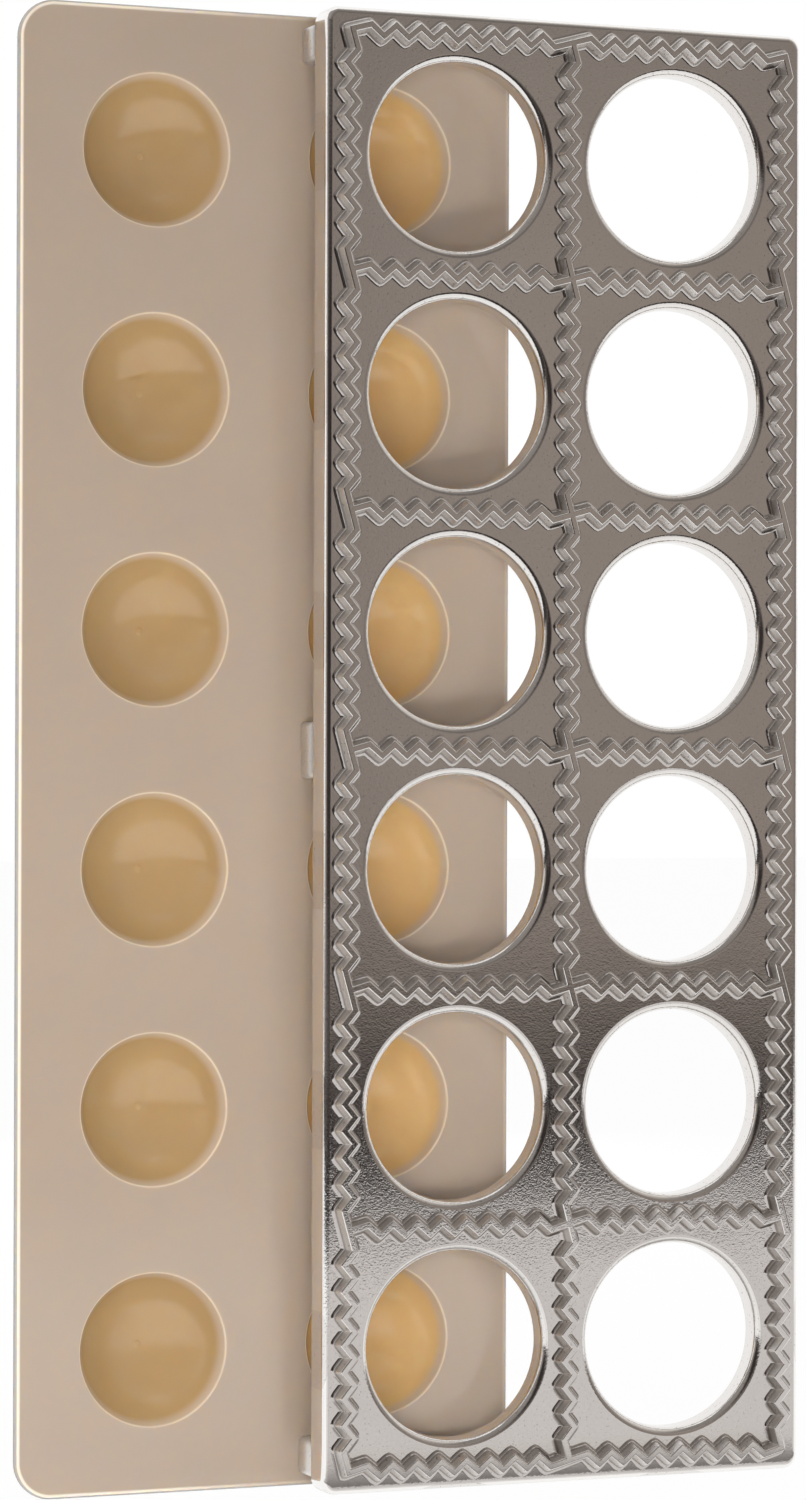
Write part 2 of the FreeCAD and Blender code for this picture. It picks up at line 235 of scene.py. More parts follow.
def ridge_line(length_in_cells):
    """Corners of one ridge line along +x from a crossing at the origin."""
    half_tooth = (PITCH - 2 * CROSSING_REACH) / (2 * TEETH - 1)
    corners = []
    for cell in range(length_in_cells):
        corners.append((cell * PITCH, 0.0))
        for index in range(2 * TEETH):
            side = 1 if index % 2 == 0 else -1
            corners.append((cell * PITCH + CROSSING_REACH + index * half_tooth, side * TOOTH_REACH))
    return corners + [(length_in_cells * PITCH, 0.0)]


def ridge_loop(columns, rows, left, bottom):
    """Centre line round a block of cells, anticlockwise, nudged where the teeth are uneven."""
    across, along = ridge_line(columns), ridge_line(rows)
    width, length = columns * PITCH, rows * PITCH
    loop = (across[:-1]
            + [(width - y, x) for x, y in along][:-1]
            + [(x, length + y) for x, y in reversed(across)][:-1]
            + [(-y, x) for x, y in reversed(along)][:-1])
    nudged = []
    for x, y in loop:
        place = Vector((left + x, bottom + y, 0.0))
        shift = noise.noise_vector(place / NUDGE_SIZE) * NUDGE
        nudged.append(Vector((place.x + shift.x, place.y + shift.y)))
    return nudged


def beside(loop, distance, outwards, sharpness, notch):
    """The outline at a distance beside a centre line, with its teeth's corners softened.

    Round an outer corner the outline is an arc, drawn out towards a point by sharpness. In
    an inner corner it is an arc of the notch's radius.
    """
    side = 1 if outwards else -1
    outline = []
    for index, corner in enumerate(loop):
        ahead = (loop[(index + 1) % len(loop)] - corner).normalized()
        back = (corner - loop[index - 1]).normalized()
        turn = math.atan2(back.x * ahead.y - back.y * ahead.x, back.dot(ahead))
        if abs(turn) < LEAST_TURN:
            continue
        start = math.atan2(-side * back.x, side * back.y)
        for step in range(CORNER_STEPS + 1):
            swing = turn * step / CORNER_STEPS
            normal = Vector((math.cos(start + swing), math.sin(start + swing)))
            if turn * side > 0:
                mitre = 1 / math.cos(min(abs(swing), abs(turn - swing)))
                place = corner + normal * distance * (1 + sharpness * (mitre - 1))
            else:
                middle = Vector((math.cos(start + turn / 2), math.sin(start + turn / 2)))
                centre = corner + middle * ((distance + notch) / math.cos(turn / 2))
                place = centre - normal * notch
            outline.append((place.x, place.y))
    return outline


print("a cell side has", TEETH, "teeth on each hand, and its line bends at",
      len(ridge_line(1)), "corners")

# %% [markdown]
# Across a ridge the section is a flat top, a small rounding where the polishing wheel took
# the edge, a steep flank with the mould's draft, and a cove where the flank meets the face.
# The teeth are sharp at the top and soften towards the foot, as cast metal does.


# %% The ridges of the cutter frame
FLAT_MARGIN = 0.03
CREST_ROUND = 0.28
CREST_FLAT_END = 0.24
COVE = 0.74
COVE_END = 0.555
SHARP_AT_CREST, SHARP_LOST = 0.85, 0.55
NOTCH_AT_CREST, NOTCH_GAIN = 0.08, 0.24


def ridge_section():
    crest = RIDGE_TOP / 2
    foot = crest + RIDGE_RUN
    return section([(crest - CREST_FLAT_END, RIDGE_HIGH, 0), (crest, RIDGE_HIGH, CREST_ROUND),
                    (foot, 0.0, COVE), (foot + COVE_END, 0.0, 0)], 4)


def held_inside(point, limit):
    """Keeps a point of the outermost teeth on the flat, short of the rolled edge."""
    return tuple(max(-most, min(most, value)) for value, most in zip(point, limit))


def ridges(skin, flat_limit):
    """The ridges' flanks, with their tops filled. Gives the rings at the foot."""
    line = ridge_section()
    left, bottom = -COLUMNS * PITCH / 2, -ROWS * PITCH / 2

    def softness(offset):
        share = max(0.0, min(1.0, (offset - RIDGE_TOP / 2) / RIDGE_RUN))
        return SHARP_AT_CREST - SHARP_LOST * share, NOTCH_AT_CREST + NOTCH_GAIN * share

    def flank(loop, outwards, limit=None):
        def outline_at(offset):
            outline = beside(loop, offset, outwards, *softness(offset))
            return [held_inside(point, limit) for point in outline] if limit else outline

        return skin.sweep(outline_at, line)

    outer_top, outer_foot = flank(ridge_loop(COLUMNS, ROWS, left, bottom), True, flat_limit)
    tops, cell_feet = [outer_top], []
    for x, y in cells():
        top, foot = flank(ridge_loop(1, 1, x - PITCH / 2, y - PITCH / 2), False)
        tops.append(top)
        cell_feet.append(foot)
    skin.fill(*tops)
    return outer_foot, cell_feet


frame_skin = Skin()
flat_half = [side / 2 - EDGE_ROUND - FLAT_MARGIN for side in (frame_stand.width, frame_stand.length)]
outer_foot, cell_feet = ridges(frame_skin, flat_half)
print("ridges round", len(cell_feet), "cells,", RIDGE_HIGH, "mm high")

# %% [markdown]
# The filled dough is pressed down through the bores. Each has a round lip, so that it doesn't
# tear the dough, and a collar behind the face that stiffens it. A bore could be cut out with
# a boolean, but one section swept round its axis gives the lip, the wall and the collar in
# clean strips.


# %% The bores
BORE_DRAFT = 0.08
COLLAR_ROUND = 0.3
COLLAR_DRAFT = 0.05
COLLAR_COVE, COLLAR_COVE_END = 0.6, 0.9


def bores(skin, cell_feet):
    """Each bore's lip, wall and collar. Gives the rings round the collars behind the face."""
    collar = BORE + COLLAR_WALL
    line = section([(BORE + LIP + FLAT_MARGIN, 0, 0), (BORE, 0, LIP),
                    (BORE - BORE_DRAFT, -COLLAR_DEEP, COLLAR_ROUND),
                    (collar, -COLLAR_DEEP, COLLAR_ROUND),
                    (collar + COLLAR_DRAFT, -FACE_THICK, COLLAR_COVE),
                    (collar + COLLAR_COVE_END, -FACE_THICK, 0)], 6)
    roots = []
    for (x, y), foot in zip(cells(), cell_feet):
        mouth, root = skin.sweep(lambda radius: round_outline(x, y, radius), line)
        skin.fill(foot, mouth)
        roots.append(root)
    return roots


collar_roots = bores(frame_skin, cell_feet)
print(len(collar_roots), "bores,", 2 * BORE, "mm wide")

# %% [markdown]
# A rim runs round the whole face and keeps the thin casting stiff. Its front edge is rolled
# over, and its inside leans a little, so that the casting leaves its mould. The section is
# swept round an outline whose corners shrink with it.


# %% The rim
RIM_DRAFT = 0.14
RIM_ROUND = 0.35
RIM_COVE, RIM_COVE_END = 0.7, 1.0
EDGE_END = 0.004
LEAST_CORNER = 0.9


def rim(skin, stand, outer_foot, roots):
    """The rolled edge, the rim and the hollow behind the face, from the front to the back."""
    wall_at_face = RIM_WALL + RIM_DRAFT
    line = section([(EDGE_ROUND + EDGE_END, 0, 0), (0, 0, EDGE_ROUND), (0, -RIM_DEEP, RIM_ROUND),
                    (RIM_WALL, -RIM_DEEP, RIM_ROUND), (wall_at_face, -FACE_THICK, RIM_COVE),
                    (wall_at_face + RIM_COVE_END, -FACE_THICK, 0)], 8)

    def outline_at(inset):
        return box_outline(stand.width - 2 * inset, stand.length - 2 * inset,
                           max(CORNER - inset, LEAST_CORNER))

    front, back = skin.sweep(outline_at, line)
    skin.fill(front, outer_foot)
    skin.fill(back, *roots)


rim(frame_skin, frame_stand, outer_foot, collar_roots)
print("the rim is", RIM_DEEP, "mm deep")

# %% [markdown]
# Six small feet stand behind the rim and hold the frame off the table, high enough for the
# ravioli to drop out. They are plain blocks with round corners. Each is a closed block of
# its own that starts inside the rim, so nothing has to be cut.


# %% The feet
FOOT_WIDE = 4.6
FOOT_INSET = 0.3
FOOT_CORNER, FOOT_LEAST_CORNER = 1.2, 0.3
SOLE_ROUND, SOLE_END = 0.5, 1.0
END_FOOT_LONG = 7.8
MIDDLE_FOOT_LONG = 12.0
FOOT_SETBACK = 2.6


def frame_feet(skin, stand):
    """Six feet: one by each corner and one halfway along each side."""
    across = stand.width / 2 - FOOT_INSET - FOOT_WIDE / 2
    end = stand.length / 2 - FOOT_SETBACK - END_FOOT_LONG / 2
    stand_deep = stand.deep - RIDGE_HIGH
    line = section([(0, -FACE_THICK / 2, 0), (0, -stand_deep, SOLE_ROUND),
                    (SOLE_END, -stand_deep, 0)], 4)
    for x in (-across, across):
        for y, long in ((-end, END_FOOT_LONG), (0.0, MIDDLE_FOOT_LONG), (end, END_FOOT_LONG)):

            def outline_at(inset):
                outline = box_outline(FOOT_WIDE - 2 * inset, long - 2 * inset,
                                      max(FOOT_CORNER - inset, FOOT_LEAST_CORNER), 5)
                return [(x + u, y + v) for u, v in outline]

            root, sole = skin.sweep(outline_at, line)
            skin.fill(root)
            skin.fill(sole)


frame_feet(frame_skin, frame_stand)
print("the feet's soles are", round(frame_stand.deep - RIDGE_HIGH, 2), "mm behind the face")

# %% [markdown]
# A wide flat that meets a small rounding shades badly when its normals are averaged, because
# long thin triangles pull them aside, and polished metal shows that at once. So every point
# on a flat is given the flat's own normal, and the roundings blend from there.


# %% Turning a skin into an object
def true_normals(mesh, on_flats):
    """Normals for shading: square to the flats, and elsewhere the mean by area."""
    sums = [Vector() for vertex in mesh.vertices]
    for face in mesh.polygons:
        for index in face.vertices:
            sums[index] += face.normal * face.area
    for index in on_flats:
        sums[index] = Vector((0, math.copysign(1, sums[index].y), 0))
    return [total.normalized() for total in sums]


def make_piece(name, skin, stand):
    """Turns a skin into an object that stands where its measured solid does."""
    mesh = bpy.data.meshes.new(name)
    mesh.from_pydata([stand.upright(p) for p in skin.points], [], skin.faces)
    shape = bmesh.new()
    shape.from_mesh(mesh)
    bmesh.ops.recalc_face_normals(shape, faces=shape.faces)
    open_edges = sum(1 for edge in shape.edges if not edge.is_manifold)
    shape.to_mesh(mesh)
    shape.free()
    mesh.shade_smooth()
    mesh.normals_split_custom_set_from_vertices(true_normals(mesh, skin.on_flats))
    piece = bpy.data.objects.new(name, mesh)
    bpy.context.scene.collection.objects.link(piece)
    mesh.calc_loop_triangles()
    print(name, len(mesh.loop_triangles), "triangles,", open_edges, "open edges")
    return piece


cutter = make_piece("cutter_frame_skin", frame_skin, frame_stand)

# %% [markdown]
# The press tray is a flat moulding with a round cup for each bore. A cup is a cap of a ball
# with a crisp mouth, and its wall shows behind the sheet as a dome. In the middle of each
# cup is the small round mark that the gate of the mould leaves.


# %% The press tray's skin
GATE = 0.9
GATE_HIGH = 0.2
MOUTH_ROUND, MOUTH_END = 0.6, 0.9
MOUTH_TO_BALL = 0.45
DOME_COVE, DOME_COVE_END = 1.2, 1.5
DOME_TO_BALL = 1.0
DOME_TIP = 0.6
SHEET_EDGE, SHEET_EDGE_END = 0.8, 1.0


def ball_line(ball, centre, first_height, tip_radius, steps=22):
    """Section of a ball's cap, from a height down to near its middle."""
    start = math.acos((centre - first_height) / ball)
    end = tip_radius / ball
    angles = [start + (end - start) * step / steps for step in range(steps + 1)]
    return [(ball * math.sin(a), centre - ball * math.cos(a), 0) for a in angles]


def tray(skin, stand):
    ball = (CUP ** 2 + CUP_DEEP ** 2) / (2 * CUP_DEEP)
    centre = ball - CUP_DEEP
    front_line = section([(CUP + MOUTH_END, 0, 0), (CUP, 0, MOUTH_ROUND)]
                         + ball_line(ball, centre, -MOUTH_TO_BALL, GATE)
                         + [(GATE * 0.8, GATE_HIGH * 0.8 - CUP_DEEP, 0),
                            (GATE * 0.4, GATE_HIGH - CUP_DEEP, 0)])
    back_ball = ball + CUP_WALL
    back_mouth = math.sqrt(back_ball ** 2 - (centre + SHEET_THICK) ** 2)
    back_line = section([(back_mouth + DOME_COVE_END, -SHEET_THICK, 0),
                         (back_mouth, -SHEET_THICK, DOME_COVE)]
                        + ball_line(back_ball, centre, -SHEET_THICK - DOME_TO_BALL, DOME_TIP))
    mouths, roots = [], []
    for x, y in cells():
        mouth, pit = skin.sweep(lambda radius: round_outline(x, y, radius, 80), front_line)
        skin.close(pit, (x, y, GATE_HIGH - CUP_DEEP))
        root, top = skin.sweep(lambda radius: round_outline(x, y, radius, 80), back_line)
        skin.close(top, (x, y, centre - back_ball))
        mouths.append(mouth)
        roots.append(root)
    edge_line = section([(SHEET_EDGE_END, 0, 0), (0, 0, SHEET_EDGE),
                         (0, -SHEET_THICK, SHEET_EDGE), (SHEET_EDGE_END, -SHEET_THICK, 0)])

    def outline_at(inset):
        return box_outline(stand.width - 2 * inset, stand.length - 2 * inset, SHEET_CORNER - inset, 12)

    front, back = skin.sweep(outline_at, edge_line)
    skin.fill(front, *mouths)
    skin.fill(back, *roots)


tray_skin = Skin()
tray(tray_skin, tray_stand)
press = make_piece("press_tray_skin", tray_skin, tray_stand)

# %% [markdown]
# Finishes are node trees. Written as wires they read like arithmetic: a small class wraps a
# socket, and a sum or product of wires adds its own Math node.


# %% Wires and finishes
class Wire:
    """A socket in a finish's node tree, with arithmetic."""

    def __init__(self, finish, socket):
        self.finish = finish
        self.socket = socket

    def maths(self, operation, other=0.0, clamp=False):
        settings = {"operation": operation, "use_clamp": clamp}
        return self.finish.node("ShaderNodeMath", settings, {0: self, 1: other})

    def __add__(self, other):
        return self.maths("ADD", other)

    __radd__ = __add__

    def __sub__(self, other):
        return self.maths("SUBTRACT", other)

    def __rsub__(self, other):
        return self * -1.0 + other

    def __mul__(self, other):
        return self.maths("MULTIPLY", other)

    __rmul__ = __mul__

    def clamped(self):
        return self.maths("ADD", 0.0, clamp=True)


class Finish:
    """A material and the nodes that make it."""

    def __init__(self, name):
        self.material = bpy.data.materials.new(name)
        self.material.use_nodes = True
        self.tree = self.material.node_tree
        self.tree.nodes.clear()
        self.output = self.tree.nodes.new("ShaderNodeOutputMaterial")

    def node(self, kind, settings=None, sockets=None, output=0):
        """Adds a node: its settings first, then the values or wires of its sockets."""
        made = self.tree.nodes.new(kind)
        for name, value in (settings or {}).items():
            if name == "stops":
                set_stops(made.color_ramp, value)
            else:
                setattr(made, name, value)
        for name, value in (sockets or {}).items():
            if isinstance(value, Wire):
                self.tree.links.new(value.socket, made.inputs[name])
            else:
                made.inputs[name].default_value = value
        return Wire(self, made.outputs[output])

    def place(self):
        return self.node("ShaderNodeTexCoord", output="Object")

    def noise(self, place, size, detail, roughness=0.55):
        """Smooth noise whose blotches are about as large as size, in millimetres."""
        return self.node("ShaderNodeTexNoise", None, {
            "Vector": place, "Scale": 1 / (size * MM), "Detail": detail, "Roughness": roughness})

    def ramp(self, value, *stops):
        return self.node("ShaderNodeValToRGB", {"stops": stops}, {"Fac": value})

    def between(self, low, high, share):
        """A colour between two others."""
        return self.node("ShaderNodeMix", {"data_type": "RGBA"},
                         {"Factor": share, 6: low, 7: high}, output=2)

    def smooth_step(self, value, start, end):
        """0 before start and 1 past end, with a smooth rise between."""
        return self.node("ShaderNodeMapRange", {"interpolation_type": "SMOOTHSTEP"},
                         {"Value": value, "From Min": start, "From Max": end})

    def bump(self, height, distance, strength=1.0, under=None):
        """A bump of so many millimetres, laid over another one where there is one."""
        sockets = {"Height": height, "Distance": distance * MM, "Strength": strength}
        if under:
            sockets["Normal"] = under
        return self.node("ShaderNodeBump", None, sockets)

    def surface(self, wire):
        self.tree.links.new(wire.socket, self.output.inputs["Surface"])
        return self.material


def set_stops(ramp, stops):
    while len(ramp.elements) < len(stops):
        ramp.elements.new(1.0)
    for element, (position, colour) in zip(ramp.elements, stops):
        element.position = position
        element.color = colour if hasattr(colour, "__len__") else (colour, colour, colour, 1)


# %% [markdown]
# A finish has to know where on the piece it is: how far from a bore, how steep, how high on
# a ridge. These masks are worked out from the place and the true normal, so they belong to
# the piece and look the same from every side.


# %% Masks from place and slope
def along_axis(finish, axis):
    """The place along one axis, in metres."""
    return finish.node("ShaderNodeSeparateXYZ", None, {"Vector": finish.place()}, output=axis)


def from_cell_middle(finish, stand):
    """Distance in millimetres from the middle of the nearest cell, across the piece."""
    squares = []
    for axis, middle, count in (("X", stand.middle.x, COLUMNS), ("Z", stand.middle.z, ROWS)):
        start = middle - count / 2 * PITCH * MM
        in_cell = ((along_axis(finish, axis) - start) * (1 / (PITCH * MM))).maths("FRACT") - 0.5
        squares.append(in_cell * in_cell)
    return (squares[0] + squares[1]).maths("SQRT") * PITCH


def steepness(metal, start, end):
    """0 on the face and the back, 1 on what leans away from them past end."""
    normal = metal.node("ShaderNodeNewGeometry", output="True Normal")
    out = metal.node("ShaderNodeSeparateXYZ", None, {"Vector": normal}, output="Y")
    return metal.smooth_step(out.maths("ABSOLUTE"), start, end)


def at_the_sides(metal):
    """1 on the outside of the rim's two long sides and of the feet behind it."""
    from_middle = (along_axis(metal, "X") - frame_stand.middle.x).maths("ABSOLUTE")
    half = frame_stand.width / 2
    return metal.smooth_step(from_middle, (half - 0.8) * MM, (half - 0.4) * MM)


def height_on_face(metal):
    """Millimetres in front of the face, negative behind it."""
    return (frame_stand.middle.y - along_axis(metal, "Y")) * (1 / MM)


# %% [markdown]
# The frame is cast aluminium, polished bright. Its flats are nearly mirrors, with a fine grain
# left by the sand. The rolled edge, the rim's sides, the crests and the lips are brighter: partly
# wear from use and the wheel, partly a painted sheen that lightens what they reflect. The
# ridges' flanks are rougher, with painted shade low in their coves, and have small dark
# specks that the polish doesn't reach. The feet stay as they were cast.


# %% Cast metal
GRAY_METAL, PALE_METAL = (0.51, 0.475, 0.452, 1), (0.60, 0.562, 0.535, 1)
WORN_AND_SHEEN_METAL = (0.82, 0.795, 0.77, 1)
FLANK_METAL = (0.80, 0.765, 0.735, 1)
COVE_PAINTED_SHADE = (0.34, 0.31, 0.29, 1)
SPECK_SOOT = (0.22, 0.195, 0.185, 1)
ROLLED_WEAR_AND_SHEEN_METAL = (0.93, 0.91, 0.89, 1)
BLOTCH_SIZE, WAVE_SIZE, PEEL_SIZE = 14.0, 26.0, 2.2
GRAIN_SIZE, FINE_SIZE, SPECK_SIZE = 0.7, 0.32, 0.55
SAND_DEEP, PEEL_DEEP, WAVE_DEEP = 0.024, 0.004, 0.10
FLANK_LEAN, EDGE_LEAN = (0.75, 0.45), (0.985, 0.90)
LIP_END = (BORE + LIP, BORE + LIP + 0.2)
COVE_TOP, FACE_LEVEL, BEHIND_FACE = (1.2, 0.6), (0.0, 0.01), (0.0, -0.05)
BEHIND_RIM = (-(RIM_DEEP + 0.1), -(RIM_DEEP + 0.3))


def cast_metal():
    metal = Finish("cast_metal")
    place = metal.place()
    blotch = metal.noise(place, BLOTCH_SIZE, 3.0)
    grain = metal.noise(place, GRAIN_SIZE, 3.0, 0.6)
    fine = metal.noise(place, FINE_SIZE, 1.0, 0.6)
    peel = metal.noise(place, PEEL_SIZE, 2.0)
    wave = metal.noise(place, WAVE_SIZE, 1.0)
    speck = metal.ramp(metal.noise(place, SPECK_SIZE, 2.0), (0.30, 1.0), (0.36, 0.0))
    steep = steepness(metal, *FLANK_LEAN)
    outside_bores = metal.smooth_step(from_cell_middle(metal, frame_stand), *LIP_END)
    sides = steep * at_the_sides(metal)
    flanks = steep * outside_bores * (1.0 - sides)
    height = height_on_face(metal)
    cove = metal.smooth_step(height, *COVE_TOP) * metal.smooth_step(height, *FACE_LEVEL)
    rolled = metal.smooth_step(height, *BEHIND_FACE) * outside_bores
    feet = metal.smooth_step(height, *BEHIND_RIM)
    edges = steepness(metal, *EDGE_LEAN) * (1.0 - cove)
    colour = metal.between(GRAY_METAL, PALE_METAL, blotch * 0.6 + grain * 0.9 - 0.25)
    # Edges and roundings are lighter: partly wear, partly a painted sheen that brightens their
    # reflections.
    rubbed_and_sheen = metal.between(colour, WORN_AND_SHEEN_METAL, edges)
    bright = metal.between(rubbed_and_sheen, FLANK_METAL, flanks)
    # Painted shade: the low part of each flank, by its cove, is darkened.
    shaded_coves = metal.between(bright, COVE_PAINTED_SHADE, flanks * cove * 0.55)
    specked = metal.between(shaded_coves, SPECK_SOOT, speck * (0.45 + flanks * 0.4))
    # The rolled edge and the rim's sides: partly a ground finish, partly a painted sheen.
    shiny = metal.between(specked, ROLLED_WEAR_AND_SHEEN_METAL, edges * rolled * (1.0 - feet))
    rough = 0.03 + grain * 0.05 + blotch * 0.03 + flanks * 0.33 + sides * 0.04 + feet * 0.32
    sand = metal.bump((grain * 0.5 + fine * 0.5) * (1.0 + flanks * 3.0 - sides * 0.9), SAND_DEEP)
    dented = metal.bump(peel, PEEL_DEEP, 1.0, sand)
    normal = metal.bump(wave, WAVE_DEEP, 1.0, dented)
    return metal.surface(metal.node("ShaderNodeBsdfPrincipled", None, {
        "Base Color": shiny, "Metallic": 1.0, "Roughness": rough, "Normal": normal}))


cutter.data.materials.append(cast_metal())
print("cast metal is on", cutter.name)

# %% [markdown]
# The tray is a cream plastic with a satin skin that light enters a little way. Its cups are
# painted warmer and more golden than the flat sheet, a painted glow for the light that bounces
# in them and shines through them, and those of the right column are painted the most golden.
# Round each cup's mouth runs a painted highlight, a thin paler ring. Along the sheet's outline
# runs another painted highlight, a paler line that is strongest on the left, where the light
# falls, and the outermost rounding is painted grey.


# %% Tray plastic
def from_tray_middle(plastic):
    """Millimetres to the right of the tray's middle, and above it."""
    return [(along_axis(plastic, axis) - middle) * (1 / MM)
            for axis, middle in (("X", tray_stand.middle.x), ("Z", tray_stand.middle.z))]


def inside_edge(plastic, across, along):
    """Millimetres from the sheet's round-cornered outline, inwards."""
    past = [(place.maths("ABSOLUTE") - (size / 2 - SHEET_CORNER)).maths("MAXIMUM", 0.0)
            for place, size in ((across, tray_stand.width), (along, tray_stand.length))]
    return SHEET_CORNER - (past[0] * past[0] + past[1] * past[1]).maths("SQRT")


GRAY_CREAM, PALE_CREAM = (0.358, 0.285, 0.223, 1), (0.387, 0.309, 0.242, 1)
MOUTH_PAINTED_GLOW = (0.47, 0.378, 0.285, 1)
LIP_PAINTED_HIGHLIGHT = (0.52, 0.43, 0.335, 1)
LEFT_PAINTED_GLOW, RIGHT_PAINTED_GLOW = (0.39, 0.262, 0.125, 1), (0.56, 0.38, 0.168, 1)
EDGE_PAINTED_HIGHLIGHT = (0.72, 0.65, 0.56, 1)
EDGE_GRAY = (0.39, 0.375, 0.365, 1)
CREAM_BLOTCH_SIZE, SATIN_SIZE = 30.0, 0.5
SATIN_DEEP, SATIN_STRENGTH = 0.01, 0.35
HOLLOW, CUP_BOTTOM = (CUP + 0.1, CUP - 0.3), (CUP - 0.3, CUP - 1.6)
LIP_OUTSIDE, LIP_INSIDE = (CUP + 0.30, CUP + 0.10), (CUP - 0.30, CUP - 0.05)
LEFT_TO_RIGHT, RIGHT_TO_LEFT = (-5.0, 5.0), (10.0, -30.0)
LINE_OUTSIDE, LINE_INSIDE, ROLLED_SHEET = (0.35, 0.50), (1.25, 0.75), (0.45, 0.30)


def tray_plastic():
    plastic = Finish("tray_plastic")
    place = plastic.place()
    blotch = plastic.noise(place, CREAM_BLOTCH_SIZE, 2.0)
    fine = plastic.noise(place, SATIN_SIZE, 3.0)
    sheet = plastic.between(GRAY_CREAM, PALE_CREAM, blotch)
    from_middle = from_cell_middle(plastic, tray_stand)
    # Painted glow: a lighter cream just inside each cup's mouth.
    mouth = plastic.between(sheet, MOUTH_PAINTED_GLOW, plastic.smooth_step(from_middle, *HOLLOW))
    across, along = from_tray_middle(plastic)
    # Painted glow: a golden cup bottom, more golden in the right column than in the left.
    bottom = plastic.between(LEFT_PAINTED_GLOW, RIGHT_PAINTED_GLOW, plastic.smooth_step(across, *LEFT_TO_RIGHT))
    drawn = plastic.between(mouth, bottom, plastic.smooth_step(from_middle, *CUP_BOTTOM))
    # Painted highlight: a thin paler ring round each cup's mouth.
    lip = (plastic.smooth_step(from_middle, *LIP_OUTSIDE)
           * plastic.smooth_step(from_middle, *LIP_INSIDE))
    lip_highlighted = plastic.between(drawn, LIP_PAINTED_HIGHLIGHT, lip)
    inside = inside_edge(plastic, across, along)
    # Painted highlight: a paler line just inside the sheet's outline, strongest on the left.
    left = 0.25 + plastic.smooth_step(across, *RIGHT_TO_LEFT) * 0.75
    edge_highlight = (plastic.smooth_step(inside, *LINE_OUTSIDE)
            * plastic.smooth_step(inside, *LINE_INSIDE) * left)
    pale = plastic.between(lip_highlighted, EDGE_PAINTED_HIGHLIGHT, edge_highlight)
    # The sheet's outermost rounding is painted grey.
    colour = plastic.between(pale, EDGE_GRAY, plastic.smooth_step(inside, *ROLLED_SHEET))
    rough = 0.12 + fine * 0.06
    normal = plastic.bump(fine, SATIN_DEEP, SATIN_STRENGTH)
    return plastic.surface(plastic.node("ShaderNodeBsdfPrincipled", None, {
        "Base Color": colour, "Roughness": rough, "Normal": normal, "IOR": 1.49,
        "Specular IOR Level": 0.8,
        "Subsurface Weight": 0.85, "Subsurface Radius": (1.0, 0.65, 0.3),
        "Subsurface Scale": 2.6 * MM}))


press.data.materials.append(tray_plastic())
print("tray plastic is on", press.name)

# %% [markdown]
# Each skin is tied to the model: it rides on the one body and stands for its solid, which is
# hidden.

# %% Tie the skins to the measured model
for piece, stand, slot in ((cutter, frame_stand, "cast_metal"), (press, tray_stand, "tray_plastic")):
    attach(piece, "root")
    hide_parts(stand.node)
    print(piece.name, "stands for", stand.node)

# %% [markdown]
# The camera stands left of the middle and looks almost level. Its place and lens come from a
# fit of the ridge crossings and the cup middles to the photograph.

# %% Camera
CAMERA_PLACE = Vector((-0.3656, -0.9134, 0.1520))
LOOK_RIGHT = 21.737
LOOK_UP = 0.182
ROLL = 0.164
FOCAL_PIXELS = 4635.3
IMAGE_TALL = 1500
SENSOR = 36.0

camera_data = bpy.data.cameras.new("camera")
camera_data.sensor_fit = "AUTO"
camera_data.sensor_width = SENSOR
camera_data.lens = FOCAL_PIXELS * SENSOR / IMAGE_TALL
camera = bpy.data.objects.new("camera", camera_data)
bpy.context.scene.collection.objects.link(camera)
camera.rotation_mode = "XYZ"
camera.location = CAMERA_PLACE
camera.rotation_euler = (math.radians(90 + LOOK_UP), 0, math.radians(-LOOK_RIGHT))
camera.rotation_euler.rotate_axis("Z", math.radians(ROLL))
bpy.context.scene.camera = camera
print("lens", round(camera_data.lens, 2), "mm")

# %% [markdown]
# The mould stands on a pale floor. Seen by the camera, by a mirror or through glass, the floor
# is nearly white by itself, and the small share that is left is lit, so the shadow stays.

# %% Floor
FLOOR_COLOUR = (0.86, 0.86, 0.86, 1)
WHITE = (1, 1, 1, 1)
FLOOR_WHITE_SHARE = 0.975
FLOOR_REACH = 6.0


def seen_directly(finish):
    """1 for a ray from the camera, a mirror or a glass, 0 for the light that falls on things."""
    path = {name: finish.node("ShaderNodeLightPath", output=name)
            for name in ("Is Camera Ray", "Is Glossy Ray", "Is Transmission Ray")}
    return (path["Is Camera Ray"] + path["Is Glossy Ray"] + path["Is Transmission Ray"]).clamped()


def floor_finish():
    pale = Finish("pale_floor")
    lit = pale.node("ShaderNodeBsdfDiffuse", None, {"Color": FLOOR_COLOUR})
    white = pale.node("ShaderNodeEmission", None, {"Color": WHITE, "Strength": 1.0})
    return pale.surface(pale.node("ShaderNodeMixShader", None, {
        0: seen_directly(pale) * FLOOR_WHITE_SHARE, 1: lit, 2: white}))


def stage_card(name, points, faces, material):
    """A floor or a card, which isn't part of the mould."""
    mesh = bpy.data.meshes.new(name)
    mesh.from_pydata(points, [], faces)
    mesh.materials.append(material)
    card = bpy.data.objects.new(name, mesh)
    bpy.context.scene.collection.objects.link(card)
    return card


def rectangle(left, right, near, far, height):
    return [(left, near, height), (right, near, height), (right, far, height), (left, far, height)]


stage_card("floor", rectangle(-FLOOR_REACH, FLOOR_REACH, -FLOOR_REACH, FLOOR_REACH, 0),
           [(0, 1, 2, 3)], floor_finish())
print("the floor reaches", FLOOR_REACH, "m each way")

# %% [markdown]
# Polished metal has hardly any look of its own: it shows what stands opposite. The upper rows
# of the frame show a grey wall, which is nearly black behind the camera. An image of a room
# could stand in for it, but a curved card with a few shades is simpler to steer. Only mirrors
# see it, so it lights nothing.


